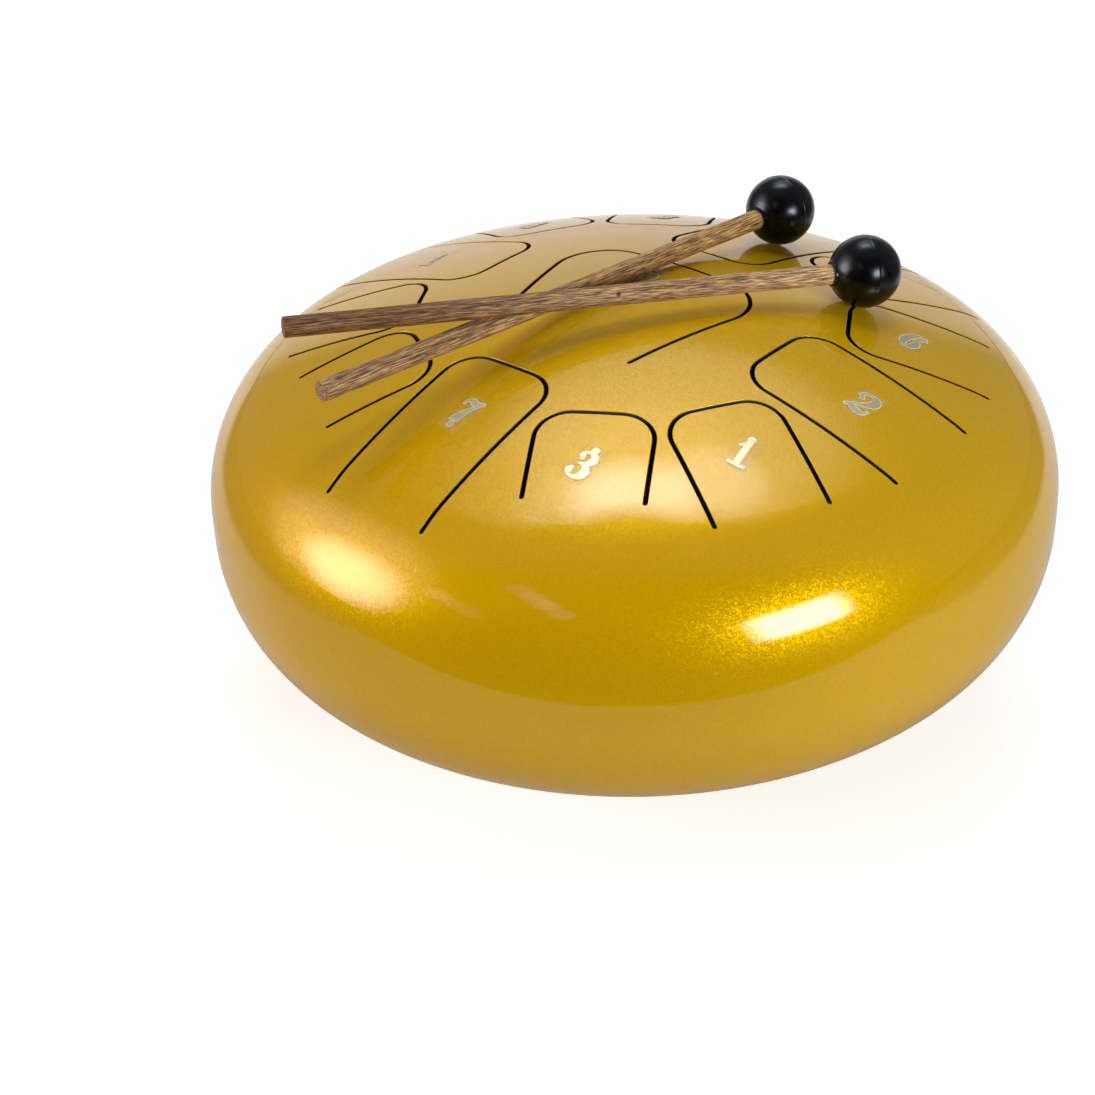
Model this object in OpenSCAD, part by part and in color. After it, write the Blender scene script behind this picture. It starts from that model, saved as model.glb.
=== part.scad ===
/* [Drum body] */
// Outside diameter of the drum
drum_d = 300; // [280:1:330]
// Outside radius of the domed crown of each shell
crown_r = 310; // [290:1:360]
// Outside radius of the shoulder between crown and skirt
shoulder_r = 50; // [42:0.5:56]
// Height of the straight skirt, from the seam to the shoulder
skirt_h = 4.5; // [3:0.1:12]
// Thickness of the pressed steel sheet
wall = 1.8; // [1.2:0.1:2.4]
// Width of the gap between the two rims that the weld fills
weld_gap = 1.2; // [0.8:0.1:2]
// How far the weld bead stands proud inside the drum
weld_bead = 1; // [0.6:0.1:1.6]
// Diameter of the sound hole in the bottom
sound_hole_d = 80; // [60:1:100]

/* [Tongues] */
// Width of the laser-cut slits
slit_w = 1.5; // [0.8:0.1:2]
// Width of the four long tongues
long_tongue_w = 39.3; // [34:0.1:41]
// Width of the eight short tongues
short_tongue_w = 36.8; // [32:0.1:38]
// Radius of the outer tongues' tip corners, at the middle of the slit
tip_corner_r = 11; // [7:0.5:13]
// Width of the centre tongue where it is widest
centre_tongue_w = 75; // [68:0.5:78]
// Radius of the centre tongue's tip corners, at the middle of the slit
centre_corner_r = 18; // [12:0.5:20]
// Length of the centre tongue, from its tip to the ends of its slits
centre_tongue_l = 65.4; // [58:0.2:70]
// Distance from the drum's axis to the centre tongue's tip
centre_tip_y = 26.8; // [22:0.2:29]
// Sideways offset of the centre tongue from the drum's axis
centre_shift = 2.5; // [-3:0.5:3]
// Angle by which each side of the centre tongue leans in towards its root
centre_taper = 12.5; // [8:0.5:16]

/* [Number labels] */
// Width of a label
label_w = 8.5; // [7:0.1:11]
// Height of a label
label_h = 16; // [13:0.1:19]
// Thickness of a label
label_t = 0.15; // [0.1:0.01:0.3]
// Distance from the drum's axis to the middle of the centre tongue's label
centre_label_y = 11.5; // [8:0.5:14]

/* [Feet] */
// Diameter of each foot where it stands
foot_d = 19; // [14:0.5:24]
// Extra radius of each foot where it meets the shell
foot_flare = 1.5; // [0.5:0.5:3]
// Distance from the drum's axis to each foot
foot_orbit = 68; // [62:1:76]
// Height that the lowest point of the bottom dome would clear the table by
crown_clearance = 3; // [2:0.5:8]

/* [Mallets] */
// Diameter of a mallet's head
head_d = 25; // [20:0.5:27]
// Diameter of a mallet's stick
stick_d = 7; // [6:0.1:8]
// Length of the lower mallet, from the middle of its head to the handle's end
lower_mallet_l = 207.7; // [195:0.1:210]
// Length of the upper mallet, from the middle of its head to the handle's end
upper_mallet_l = 201.7; // [195:0.1:210]
// Depth of the stick's socket past the middle of the head
socket_past = 3; // [0:0.5:6]
// Width of the collar round the mouth of the socket
collar_w = 1.1; // [0.6:0.1:1.6]
// How far the collar stands out of the head
collar_out = 0.5; // [0.3:0.1:1]
// Height of the mould line round the head
mould_line_h = 0.15; // [0.1:0.05:0.25]
// Width of the mould line
mould_line_w = 0.5; // [0.3:0.1:0.8]
// Size of the chamfer on the handle's end
stick_chamfer = 0.5; // [0.3:0.1:1]
// Distance from the drum's axis to the lower mallet's head
lower_head_orbit = 80.5; // [74:0.5:90]
// Direction of the lower mallet's head from the drum's axis
lower_head_angle = 84.7; // [80:0.1:90]
// Direction in which the lower mallet's stick points
lower_stick_angle = 261.8; // [258:0.1:264]
// Distance from the drum's axis to the upper mallet's head
upper_head_orbit = 81.2; // [78:0.5:86]
// Direction of the upper mallet's head from the drum's axis
upper_head_angle = 41.3; // [38:0.1:44]
// Direction in which the upper mallet's stick points
upper_stick_angle = 237.3; // [235:0.1:240]

/* [Clearances] */
// Gap under whatever lies loose on the drum
rest_gap = 0.3; // [0.2:0.05:0.5]
// Thickness of a film of glue
glue_gap = 0.05; // [0.02:0.01:0.1]

/* [Hidden] */
// How far a cut runs past the surface that it opens
overrun = 2;
// Finest step to which a worked-out height is rounded
grain = 0.001;
// Roundness of true curves in the preview
$fn = 160;
// Largest turn between the points of a computed arc
arc_step = 6;

// Outer tongues, counter-clockwise from the one nearest the player
// Which of them are long
LONG = [true, false, false, true, false, false, true, false, false, true, false, false];
// Small turns of each one away from an even spacing
tongue_turns = [-0.7, 0.8, -0.5, -0.1, 0.4, 0.3, -0.6, 0.9, -0.9, -0.6, -0.4, -1.5];
// Distances of their tips from the axis, as shares of the drum's radius
tip_shares = [0.402, 0.497, 0.504, 0.409, 0.503, 0.5, 0.295, 0.5, 0.53, 0.382, 0.493, 0.493];
// Distances of their slits' ends from the axis, as shares of the drum's radius
root_shares = [0.849, 0.732, 0.8, 0.813, 0.818, 0.843, 0.847, 0.855, 0.865, 0.827, 0.781, 0.75];
// Distances of their labels' middles from the axis, as shares of the drum's radius
label_shares = [0.573, 0.643, 0.643, 0.64, 0.647, 0.647, 0.587, 0.647, 0.66, 0.607, 0.71, 0.58];
// Notes of the tongues in the same order, then the centre tongue's
LABELS = ["label_low_7", "label_high_3", "label_high_1", "label_2", "label_6", "label_5", "label_low_6",
          "label_3", "label_4", "label_1", "label_7", "label_high_2", "label_low_5"];
// Feet, counter-clockwise from the front right one
FEET = ["foot_front_right", "foot_rear_right", "foot_rear_left", "foot_front_left"];

drum_r = drum_d / 2;
outer_count = len(tip_shares);
tongue_step = 360 / outer_count;
foot_step = 360 / len(FEET);
// Height of the shoulder arc's centre over the crown's centre, where the two arcs are tangent
crown_drop = round(sqrt(pow(crown_r - shoulder_r, 2) - pow(drum_r - shoulder_r, 2)) / grain) * grain;
// Height of the crown's centre over the seam, and of the whole shell over the seam
crown_centre_z = skirt_h - crown_drop;
shell_h = crown_centre_z + crown_r;
// Height of the seam over the table
seam_z = shell_h + crown_clearance;
// Height of each foot in its middle
foot_h = seam_z - crown_centre_z - sqrt(pow(crown_r, 2) - pow(foot_orbit, 2));
// Directions of the line on which the shoulder and crown arcs join
join_x = drum_r - shoulder_r;
join_y = crown_drop;

// Half of the straight part of the centre tongue's tip, and the length of each of its leaning sides
centre_flat = (centre_tongue_w + slit_w) / 2 - centre_corner_r;
centre_side_l = (centre_tongue_l - centre_corner_r * (1 + sin(centre_taper))) / cos(centre_taper);

head_r = head_d / 2;
stick_r = stick_d / 2;
// Distances of a resting head's middle and of a resting stick's axis from the crown's centre
head_reach = crown_r + rest_gap + head_r;
stick_reach = crown_r + rest_gap + stick_r;
// Least distance between the two crossing sticks' axes
stick_stack = stick_d + rest_gap;

paint = [0.74, 0.56, 0.13];
steel = [0.55, 0.53, 0.5];
foil = [0.9, 0.87, 0.7];
rubber = [0.05, 0.05, 0.06];
timber = [0.62, 0.43, 0.28];

// Vector helpers
function unit(v) = v / norm(v);
function compass(a) = [cos(a), sin(a), 0];
function flat_on(v, n) = unit(v - n * (v * n));
function bearing(v) = atan2(v[1], v[0]);
function slope(v) = asin(v[2] / norm(v));

// Middle of a head that lies on the crown, measured from the crown's centre
function head_place(orbit, angle) =
    orbit * compass(angle) + [0, 0, sqrt(pow(head_reach, 2) - pow(orbit, 2))];

// Direction of a stick from its head, where the stick rests on the crown
function resting_way(place, angle) =
    let (n = unit(place), lean = acos(stick_reach / head_reach))
    cos(lean) * flat_on(compass(angle), n) - sin(lean) * n;

// Direction of a stick that crosses over another one
// Each pass sets the height over the crossing from the tilt of the pass before
function crossing_way(place, angle, under, under_way, tilt = 1, passes = 4) =
    let (ahead = compass(angle),
         side = [-ahead[1], ahead[0], 0],
         t = ((place - under) * side) / (under_way * side),
         meet = under + t * under_way + [0, 0, stick_stack / tilt],
         way = unit(meet - place))
    passes == 0 ? way
                : crossing_way(place, angle, under, under_way, abs(unit(cross(way, under_way))[2]), passes - 1);

lower_place = head_place(lower_head_orbit, lower_head_angle);
lower_way = resting_way(lower_place, lower_stick_angle);
upper_place = head_place(upper_head_orbit, upper_head_angle);
upper_way = crossing_way(upper_place, upper_stick_angle, lower_place, lower_way);

// Pressed shells

// Ring of sheet metal of outside radius r, as thick as the wall
module sheet_ring(r) {
    difference() {
        circle(r);
        circle(r - wall);
    }
}

// Half section of one shell: skirt, shoulder and crown, with the seam at y = 0
module shell_section() {
    translate([drum_r - wall, weld_gap / 2])
        square([wall, skirt_h - weld_gap / 2]);
    translate([drum_r - shoulder_r, skirt_h])
        intersection() {
            sheet_ring(shoulder_r);
            polygon([[0, 0], [join_x + join_y, 0], [join_x, join_y]]);
        }
    translate([0, crown_centre_z])
        intersection() {
            sheet_ring(crown_r);
            polygon([[0, 0], [2 * join_x, 2 * join_y], [0, 2 * join_y]]);
        }
}

module shell_blank() {
    rotate_extrude()
        shell_section();
}

// Plan of a tongue with parallel sides and two round tip corners, its root at y = root
module tongue_plan(half_w, tip, root, r) {
    translate([-half_w, tip + r])
        square([2 * half_w, root - tip - r]);
    translate([r - half_w, tip])
        square([2 * (half_w - r), r]);
    for (side = [-1, 1])
        translate([side * (half_w - r), tip + r])
            circle(r);
}

// Slit round an outer tongue, with round ends
module outer_slit(half_w, tip, root) {
    half_slit = slit_w / 2;
    difference() {
        tongue_plan(half_w + half_slit, tip - half_slit, root, tip_corner_r + half_slit);
        tongue_plan(half_w - half_slit, tip + half_slit, root + overrun, tip_corner_r - half_slit);
    }
    for (side = [-1, 1])
        translate([side * half_w, root])
            circle(half_slit);
}

// Points of an arc round a centre, from one angle to another
function arc(centre, r, from, to) =
    let (steps = ceil(abs(to - from) / arc_step))
    [for (i = [0 : steps])
        let (a = from + (to - from) * i / steps)
        centre + r * [cos(a), sin(a)]];

// One edge of the centre tongue's slit, from its right tip corner to its left one
// It runs at a distance of gap outside the middle of the slit
function centre_edge(gap) =
    concat(arc([centre_shift + centre_flat, centre_tip_y - centre_corner_r], centre_corner_r + gap,
               -centre_taper, 90),
           arc([centre_shift - centre_flat, centre_tip_y - centre_corner_r], centre_corner_r + gap,
               90, 180 + centre_taper));

// End of the slit's middle line on one side, where side is 1 on the right and -1 on the left
function centre_root(side) =
    [centre_shift + side * (centre_flat + centre_corner_r * cos(centre_taper) - centre_side_l * sin(centre_taper)),
     centre_tip_y - centre_tongue_l];

function backwards(list) = [for (i = [len(list) - 1 : -1 : 0]) list[i]];

// Slit round the centre tongue: its sides lean in towards the root, and its ends are round
module centre_slit() {
    half_slit = slit_w / 2;
    polygon(concat(centre_edge(half_slit),
                   arc(centre_root(-1), half_slit, 180 + centre_taper, 360 + centre_taper),
                   backwards(centre_edge(-half_slit)),
                   arc(centre_root(1), half_slit, 180 - centre_taper, 360 - centre_taper)));
}

module outer_slits() {
    for (i = [0 : outer_count - 1]) {
        half_w = ((LONG[i] ? long_tongue_w : short_tongue_w) + slit_w) / 2;
        rotate(180 + i * tongue_step + tongue_turns[i])
            outer_slit(half_w, tip_shares[i] * drum_r, root_shares[i] * drum_r);
    }
}

// Cuts a plan down through the whole shell
module down_through() {
    linear_extrude(shell_h + overrun)
        children();
}

module upper_shell() {
    color(paint)
        translate([0, 0, seam_z])
            difference() {
                shell_blank();
                down_through() outer_slits();
                down_through() centre_slit();
            }
}

module lower_shell() {
    color(paint)
        translate([0, 0, seam_z])
            mirror([0, 0, 1])
                difference() {
                    shell_blank();
                    cylinder(h = shell_h + overrun, d = sound_hole_d);
                }
}

// Weld: ground flush outside, with a round bead left inside
module weld_seam() {
    color(steel)
        translate([0, 0, seam_z])
            rotate_extrude() {
                translate([drum_r - wall - glue_gap, -weld_gap / 2])
                    square([wall + glue_gap, weld_gap]);
                intersection() {
                    translate([drum_r - wall - glue_gap, 0])
                        circle(weld_bead);
                    translate([0, -weld_bead])
                        square([drum_r - wall - glue_gap, 2 * weld_bead]);
                }
            }
}

// Number labels: thin pieces that follow the crown, upright for the player

module label(x, y) {
    bed_r = crown_r + glue_gap;
    color(foil)
        translate([0, 0, seam_z + crown_centre_z])
            intersection() {
                difference() {
                    sphere(bed_r + label_t);
                    sphere(bed_r);
                }
                translate([x - label_w / 2, y - label_h / 2, 0])
                    cube([label_w, label_h, bed_r + overrun]);
            }
}

module outer_label(i) {
    reach = label_shares[i] * drum_r;
    label(reach * sin(i * tongue_step), -reach * cos(i * tongue_step));
}

// Rubber foot, glued to the dome by its slanted top
// Its blank is twice as high as the foot's middle, so the dome cuts all of its top
module foot(i) {
    color(rubber)
        rotate((i - 0.5) * foot_step)
            translate([foot_orbit, 0, 0])
                difference() {
                    cylinder(h = 2 * foot_h, d1 = foot_d, d2 = foot_d + 4 * foot_flare);
                    translate([-foot_orbit, 0, seam_z - crown_centre_z])
                        sphere(crown_r + glue_gap);
                }
}

// Mallets, each made along +Z from the middle of its head

module mallet_stick(length) {
    socket_bottom = -socket_past;
    color(timber)
        rotate_extrude()
            polygon([[0, socket_bottom + glue_gap],
                     [stick_r, socket_bottom + glue_gap],
                     [stick_r, length - stick_chamfer],
                     [stick_r - stick_chamfer, length],
                     [0, length]]);
}

module mallet_head() {
    collar_top = head_r + collar_out;
    color(rubber)
        difference() {
            union() {
                sphere(head_r);
                cylinder(h = collar_top, r = stick_r + collar_w);
                translate([0, 0, -mould_line_w / 2])
                    cylinder(h = mould_line_w, r = head_r + mould_line_h);
            }
            translate([0, 0, -socket_past])
                cylinder(h = socket_past + collar_top + overrun, r = stick_r + glue_gap);
        }
}

// Lays a mallet on the crown at its place, along its way
module lay(place, way) {
    translate([0, 0, seam_z + crown_centre_z])
        translate(place)
            rotate([0, 90 - slope(way), bearing(way)])
                children();
}

upper_shell();
lower_shell();
weld_seam();
lay(lower_place, lower_way) mallet_stick(lower_mallet_l);  // lower_mallet_stick
lay(lower_place, lower_way) mallet_head();  // lower_mallet_head
lay(upper_place, upper_way) mallet_stick(upper_mallet_l);  // upper_mallet_stick
lay(upper_place, upper_way) mallet_head();  // upper_mallet_head
for (i = [0 : len(FEET) - 1])
    foot(i);
for (i = [0 : outer_count - 1])
    outer_label(i);
label(0, centre_label_y);
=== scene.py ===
import math

import bmesh
import bpy
from mathutils import Matrix, Vector


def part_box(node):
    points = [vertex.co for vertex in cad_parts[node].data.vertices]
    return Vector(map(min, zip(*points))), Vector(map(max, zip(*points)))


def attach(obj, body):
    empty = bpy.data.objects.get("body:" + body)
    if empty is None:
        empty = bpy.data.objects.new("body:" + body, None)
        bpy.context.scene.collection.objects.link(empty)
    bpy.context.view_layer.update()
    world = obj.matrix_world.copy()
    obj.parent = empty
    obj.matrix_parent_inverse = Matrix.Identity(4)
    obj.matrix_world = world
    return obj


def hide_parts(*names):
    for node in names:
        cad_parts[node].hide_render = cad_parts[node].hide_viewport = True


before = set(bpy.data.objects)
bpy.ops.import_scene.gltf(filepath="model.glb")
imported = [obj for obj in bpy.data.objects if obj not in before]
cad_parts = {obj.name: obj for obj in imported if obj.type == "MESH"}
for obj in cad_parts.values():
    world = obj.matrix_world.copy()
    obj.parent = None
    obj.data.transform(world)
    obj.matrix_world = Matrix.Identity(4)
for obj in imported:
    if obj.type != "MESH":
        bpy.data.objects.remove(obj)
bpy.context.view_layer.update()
mm = 0.001  # sizes in the dictionaries are millimetres
joinDistance = 0.004  # vertices nearer than this become one
levelFacing = 0.9  # a normal that points up or down by more than this is a level face's
print("frame loaded:", len(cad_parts), "nodes")


# Small helpers

def startClean():
    bpy.ops.object.select_all(action="DESELECT")


def activate(piece):
    startClean()
    piece.select_set(True)
    bpy.context.view_layer.objects.active = piece


def applyPlace():
    bpy.ops.object.transform_apply(location=True, rotation=True, scale=True)


def applyAll(piece):
    activate(piece)
    for modifier in list(piece.modifiers):
        bpy.ops.object.modifier_apply(modifier=modifier.name)


def dress(piece, name, body, slot, materials, *nodes):
    # names the finished piece, gives it its materials and lets it ride on its body
    piece.name = name
    piece.data.name = name
    piece.data.materials.clear()
    for material in materials:
        piece.data.materials.append(material)
    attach(piece, body)
    if nodes:
        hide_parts(*nodes)


def smoothByAngle(piece, degrees):
    activate(piece)
    bpy.ops.object.shade_smooth_by_angle(angle=math.radians(degrees))


def tidyNormals():
    # in edit mode: joins doubles and turns every face outwards
    bpy.ops.mesh.select_all(action="SELECT")
    bpy.ops.mesh.remove_doubles(threshold=joinDistance * mm)
    bpy.ops.mesh.normals_make_consistent(inside=False)


def pickParts(piece, parts, test):
    bpy.ops.mesh.select_all(action="DESELECT")
    mesh = bmesh.from_edit_mesh(piece.data)
    for part in parts(mesh):
        part.select_set(test(part))
    bmesh.update_edit_mesh(piece.data)
    return mesh


def pickFaces(piece, test):
    # in edit mode: selects just the faces that pass the test
    return pickParts(piece, lambda mesh: mesh.faces, test)


def pickEdges(piece, test):
    return pickParts(piece, lambda mesh: mesh.edges, test)


def extrudeUp(height):
    bpy.ops.mesh.extrude_region_move(TRANSFORM_OT_translate={"value": (0, 0, height)})


def combine(piece, tool, operation):
    # cuts the tool out of the piece, or unites the two
    boolean = piece.modifiers.new("boolean", "BOOLEAN")
    boolean.operation = operation
    boolean.solver = "MANIFOLD"
    boolean.object = tool
    applyAll(piece)
    bpy.data.objects.remove(tool)


def placeVertices(piece, places):
    for vertex, place in zip(piece.data.vertices, places):
        vertex.co = place
    piece.data.update()


def blendCurve(points, steps):
    # smooth curve through given points of any dimension
    ends = [points[0]] + points + [points[-1]]
    curve = []
    for a, b, c, d in zip(ends, ends[1:], ends[2:], ends[3:]):
        for k in range(steps):
            t = k / steps
            curve.append(tuple(
                0.5 * (2 * q + (r - p) * t + (2 * p - 5 * q + 4 * r - s) * t * t
                       + (3 * q - p - 3 * r + s) * t ** 3)
                for p, q, r, s in zip(a, b, c, d)))
    curve.append(tuple(points[-1]))
    return curve


# Node helpers. What they return is (node, output), ready to be given as an input of the next node

def newMaterial(name):
    # the material, its node tree and its object coordinates
    material = bpy.data.materials.new(name)
    material.use_nodes = True
    tree = material.node_tree
    tree.nodes.clear()
    return material, tree, (addNode(tree, "ShaderNodeTexCoord"), "Object")


def addNode(tree, kind, inputs=None, **settings):
    # an input is a value, or (node, output) to be joined to
    node = tree.nodes.new(kind)
    for key, value in settings.items():
        setattr(node, key, value)
    for key, value in (inputs or {}).items():
        if isinstance(value, tuple) and isinstance(value[0], bpy.types.Node):
            tree.links.new(value[0].outputs[value[1]], node.inputs[key])
        else:
            node.inputs[key].default_value = value
    return node


def mathNode(tree, operation, *values):
    return addNode(tree, "ShaderNodeMath", dict(enumerate(values)), operation=operation), "Value"


def vectorMath(tree, operation, *values, output="Vector"):
    return addNode(tree, "ShaderNodeVectorMath", dict(enumerate(values)), operation=operation), output


def mapRange(tree, source, start, end, top=1.0, curve="LINEAR"):
    # 0 at the start, top at the end
    node = addNode(tree, "ShaderNodeMapRange", {
        "Value": source, "From Min": start, "From Max": end, "To Max": top}, interpolation_type=curve)
    return node, "Result"


def mixShaders(tree, share, a, b):
    return addNode(tree, "ShaderNodeMixShader", {0: share, 1: a, 2: b}), "Shader"


def noise(tree, place, scale, detail, roughness=0.5):
    return addNode(tree, "ShaderNodeTexNoise", {
        "Vector": place, "Scale": scale, "Detail": detail, "Roughness": roughness}), "Fac"


def ramp(tree, source, stops):
    # colour ramp from (place, colour) stops
    node = addNode(tree, "ShaderNodeValToRGB", {"Fac": source})
    elements = node.color_ramp.elements
    while len(elements) < len(stops):
        elements.new(0.5)
    for element, (place, colour) in zip(elements, stops):
        element.position = place
        element.color = (*colour, 1.0)
    return node, "Color"


def multiply(tree, a, b, amount=1.0):
    # colour a multiplied by colour b
    node = addNode(tree, "ShaderNodeMix", {0: amount, 6: a, 7: b}, data_type="RGBA", blend_type="MULTIPLY")
    return node, 2


def bump(tree, height, strength, distance):
    return addNode(tree, "ShaderNodeBump", {
        "Height": height, "Strength": strength, "Distance": distance * mm}), "Normal"


def shaded(material, inputs):
    # ends a material with a principled shader
    tree = material.node_tree
    shader = addNode(tree, "ShaderNodeBsdfPrincipled", inputs)
    addNode(tree, "ShaderNodeOutputMaterial", {"Surface": (shader, "BSDF")})
    return material


# Camera, at the photograph's viewing angle

cameraSet = {
    "place": (0.43598, -0.54549, 0.47562),
    "forward": (-0.56180, 0.64174, -0.52205),
    "roll": -2.279,
    "lens": 73.29,
    "sensor": 36.0,
    "clip": (0.02, 40.0),
}


def makeCamera():
    data = bpy.data.cameras.new("camera")
    data.lens = cameraSet["lens"]
    data.sensor_width = cameraSet["sensor"]
    data.clip_start, data.clip_end = cameraSet["clip"]
    camera = bpy.data.objects.new("camera", data)
    bpy.context.scene.collection.objects.link(camera)
    forward = Vector(cameraSet["forward"]).normalized()
    right = forward.cross(Vector((0, 0, 1))).normalized()
    up = right.cross(forward)
    turn = Matrix.Rotation(math.radians(cameraSet["roll"]), 3, -forward)
    right, up = turn @ right, turn @ up
    axes = Matrix((right, up, -forward)).transposed()
    camera.matrix_world = Matrix.Translation(cameraSet["place"]) @ axes.to_4x4()
    bpy.context.scene.camera = camera


makeCamera()
print("camera placed")


# Studio: pale floor, soft lights and pale walls, darker room in front of the drum

studio = {
    "aim": (0, 0, 0.11),  # middle of the drum
    "cameraSide": 39,  # azimuth from which the photograph is taken
    "floorSize": 12.0,
    "tableEdge": 0.267,  # where the white table top ends in front of the drum
    "tableFade": 0.012,
    "stripShift": 0.015,
    "stripHalf": 0.43,
    "stripFade": 0.06,
    "stripWidens": (-0.3, -2.3, 1.1),  # from here, to here, by so much
    # painted glow on the paper behind the drum, seen only in reflections
    "rearLift": (0.05, -0.4, 0.38),
    "lift": 0.65,
    "paper": 0.68,
    "besidePaper": 0.16,
    "beforePaper": 0.03,
    "ambient": 0.002,
    "cutBorder": 0.008,
    "tints": {"white": (1.0, 1.0, 1.0), "warm": (1.0, 0.90, 0.86), "rose": (1.2, 0.85, 0.75)},
    # soft lights and pale walls: azimuth, elevation and edges of the soft border in degrees,
    # height on a unit sphere where the light is cut off, strength, tint
    "lobes": [
        (-137, 70, 1, 23, 0.960, 1.15, "white"),
        (-151.5, 58.5, 12, 21.5, 0.960, 1.15, "white"),
        (-142, 72.5, 1, 9.5, 0.960, 7.4, "white"),
        (-121.5, 71, 1, 8.5, 0.950, 1.7, "white"),
        (-165, 66, 2, 7.5, 0.950, 3.0, "white"),
        (-40, 16, 3, 19.5, 1.1, 8.2, "warm"),
        (-47, 22, 5, 31, 1.1, 1.9, "warm"),
        (-146, 21, 84, 105, 1.1, 0.21, "white"),
        (-141, -1, 24, 31.5, 1.1, 0.66, "white"),
        (2, 46.5, 0, 4.5, 1.1, 0.8, "rose"),
        (8, 42.5, 0, 4.5, 1.1, 1.3, "rose"),
        (13.5, 38.5, 0, 4.5, 1.1, 1.9, "rose"),
        (18.5, 33.5, 0, 4.5, 1.1, 1.1, "rose"),
        (-16, 28.5, 0, 4.5, 1.1, 1.2, "warm"),
        (-11, 26.5, 0, 4.5, 1.1, 0.6, "warm"),
        (-5, 24, 0, 4.5, 1.1, 0.5, "warm"),
    ],
}
softbox = {
    "azimuth": 78.5,
    "elevation": 14.5,
    "distance": 1.4,
    "size": (0.74, 0.50),
    "power": 26.0,
    "turn": 6,
    "border": 0.27,  # share of the size in which the light fades out
}


def toward(azimuth, elevation):
    # azimuth 0 looks to the player, 90 to the player's right
    a, e = math.radians(azimuth), math.radians(elevation)
    return Vector((math.sin(a) * math.cos(e), -math.cos(a) * math.cos(e), math.sin(e)))


def makeWorld():
    world = bpy.data.worlds.new("studio")
    bpy.context.scene.world = world
    world.use_nodes = True
    tree = world.node_tree
    tree.nodes.clear()
    place = addNode(tree, "ShaderNodeTexCoord"), "Generated"
    apart = addNode(tree, "ShaderNodeSeparateXYZ", {"Vector": place})
    total = addNode(tree, "ShaderNodeCombineXYZ", {axis: studio["ambient"] for axis in "XYZ"}), "Vector"
    for azimuth, elevation, core, reach, limit, strength, tint in studio["lobes"]:
        facing = vectorMath(tree, "DOT_PRODUCT", place, toward(azimuth, elevation), output="Value")
        outer, inner = math.cos(math.radians(reach)), math.cos(math.radians(core))
        lobe = mapRange(tree, facing, outer, inner, 1.0, "SMOOTHSTEP")
        below = mapRange(tree, (apart, "Z"), limit + studio["cutBorder"], limit - studio["cutBorder"])
        share = mathNode(tree, "MULTIPLY", lobe, below)
        total = vectorMath(tree, "MULTIPLY_ADD", share, strength * Vector(studio["tints"][tint]), total)

    seen = addNode(tree, "ShaderNodeLightPath")
    background = addNode(tree, "ShaderNodeBackground", {"Color": (1, 1, 1, 1), "Strength": 1.0})
    surroundings = addNode(tree, "ShaderNodeBackground", {"Color": total})
    either = mixShaders(tree, (seen, "Is Camera Ray"), (surroundings, "Background"),
                        (background, "Background"))
    addNode(tree, "ShaderNodeOutputWorld", {"Surface": either})


def makeSoftbox():
    data = bpy.data.lights.new("softbox", "AREA")
    data.shape = "RECTANGLE"
    data.size, data.size_y = softbox["size"]
    data.energy = softbox["power"]
    # the cloth is brightest in the middle and fades towards its frame
    data.use_nodes = True
    tree = data.node_tree
    tree.nodes.clear()
    geometry = addNode(tree, "ShaderNodeNewGeometry")
    sides = addNode(tree, "ShaderNodeSeparateXYZ", {"Vector": (geometry, "Parametric")})
    fades = []
    for side in "XY":
        far = mathNode(tree, "ABSOLUTE", mathNode(tree, "SUBTRACT", (sides, side), 0.5))
        fades.append(mapRange(tree, far, 0.5, 0.5 - softbox["border"], 1.0, "SMOOTHSTEP"))
    glow = addNode(tree, "ShaderNodeEmission", {"Strength": mathNode(tree, "MULTIPLY", *fades)})
    addNode(tree, "ShaderNodeOutputLight", {"Surface": (glow, "Emission")})
    lamp = bpy.data.objects.new("softbox", data)
    bpy.context.scene.collection.objects.link(lamp)
    direction = toward(softbox["azimuth"], softbox["elevation"])
    lamp.location = Vector(studio["aim"]) + direction * softbox["distance"]
    lamp.rotation_mode = "QUATERNION"
    roll = Matrix.Rotation(math.radians(softbox["turn"]), 3, "Z").to_quaternion()
    lamp.rotation_quaternion = direction.to_track_quat("Z", "Y") @ roll


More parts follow.
